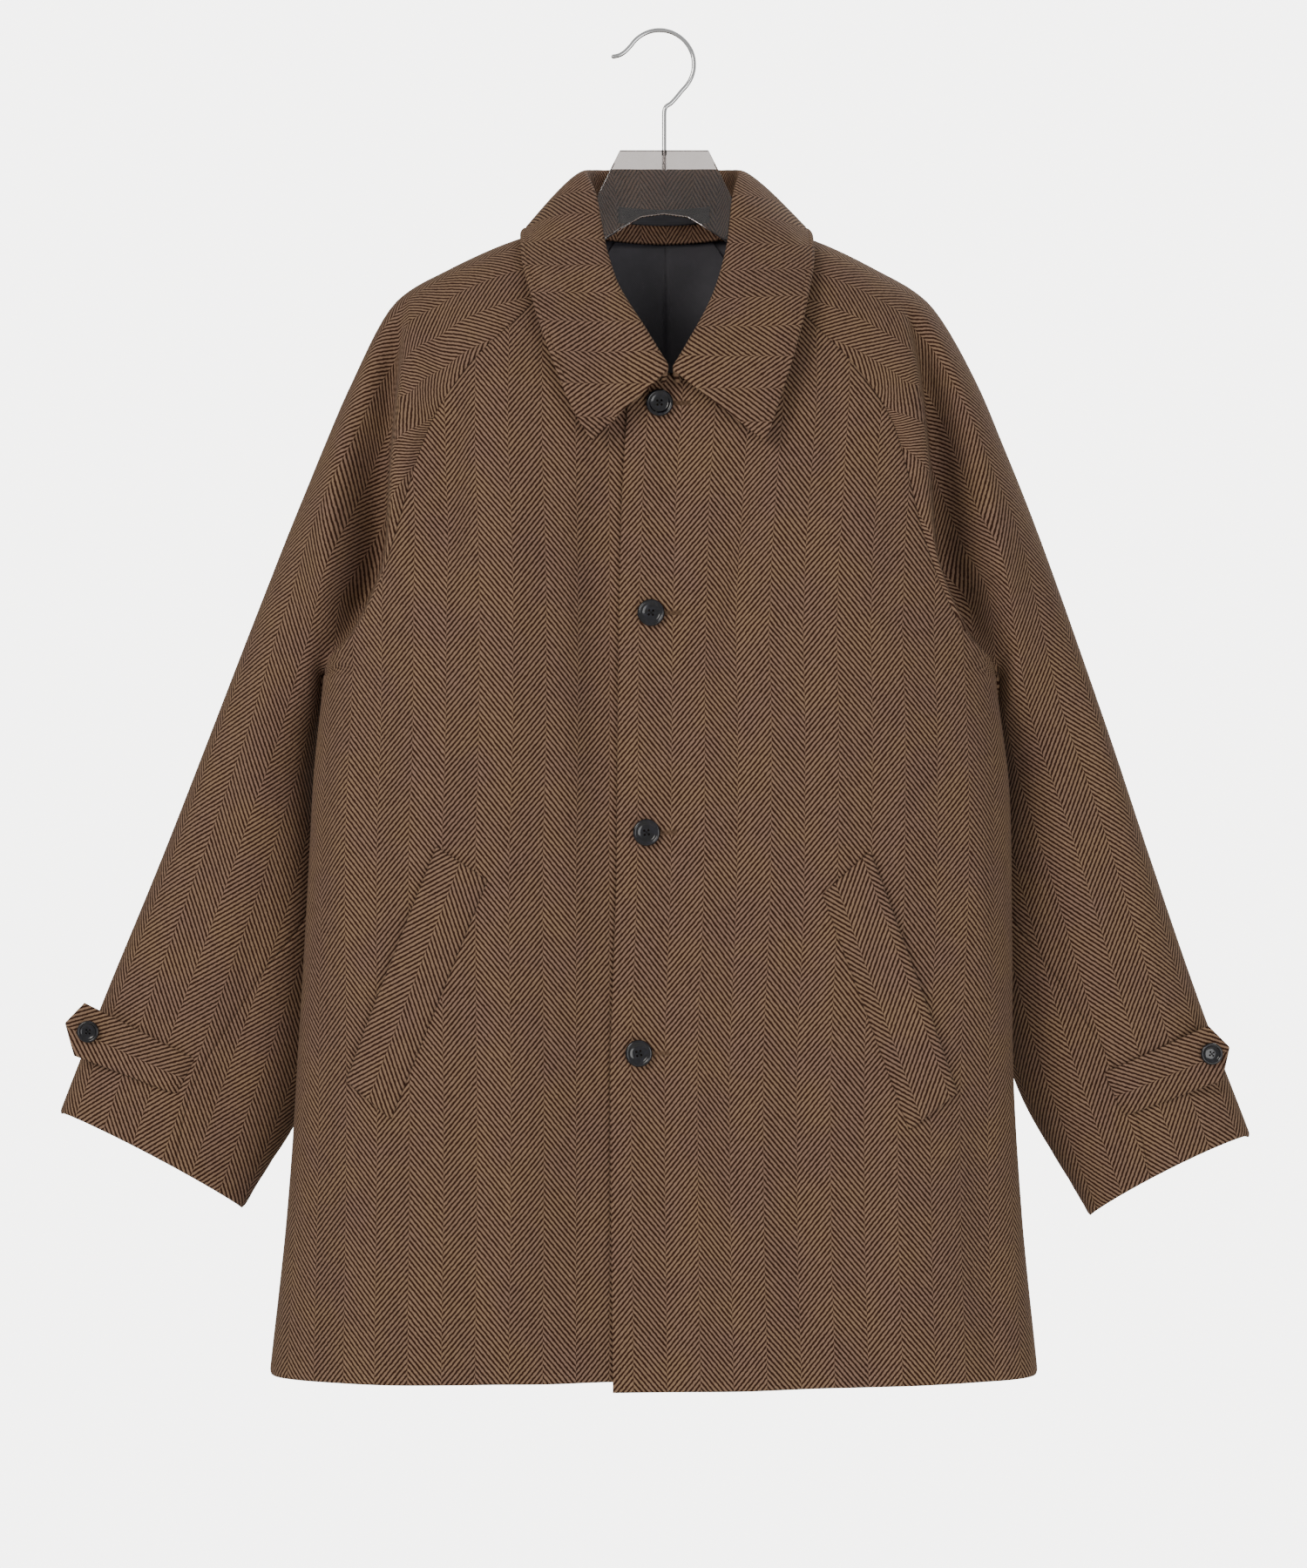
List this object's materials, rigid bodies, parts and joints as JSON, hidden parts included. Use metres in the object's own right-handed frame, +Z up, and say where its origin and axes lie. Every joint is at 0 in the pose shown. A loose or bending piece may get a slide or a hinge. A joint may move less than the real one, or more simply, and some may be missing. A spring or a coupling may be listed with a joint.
{
  "type": "short raglan coat on a clear hanger",
  "caption": "Short herringbone wool coat with raglan sleeves, a turn-down collar, welt pockets and sleeve tabs, buttoned on a clear flat hanger with a wire hook.",
  "frame": {"origin": "the top inside of the hanger's hook, where the peg or rail bears", "axes": "+Z is up along the coat's length, the front faces -Y, +X is the wearer's left"},
  "size_m": [0.919, 0.1798, 1.0363],
  "materials": {
    "wool": "brushed herringbone wool",
    "lining": "satin weave, soft sheen",
    "label": "plain ribbon",
    "button": "polished dark resin",
    "acrylic": "clear, polished",
    "wire": "bright"
  },
  "bodies": {
    "root": {"front_left": "wool", "front_right": "wool", "back": "wool", "sleeve_left_front": "wool", "sleeve_left_back": "wool", "sleeve_right_front": "wool", "sleeve_right_back": "wool", "collar": "wool", "pocket_welt_left": "wool", "pocket_welt_right": "wool", "sleeve_tab_left": "wool", "sleeve_tab_right": "wool", "back_lining": "lining", "neck_label": "label", "button_1": "button", "button_2": "button", "button_3": "button", "button_4": "button", "tab_button_left": "button", "tab_button_right": "button", "hanger_plate": "acrylic", "hanger_hook": "wire"}
  },
  "joints": []
}
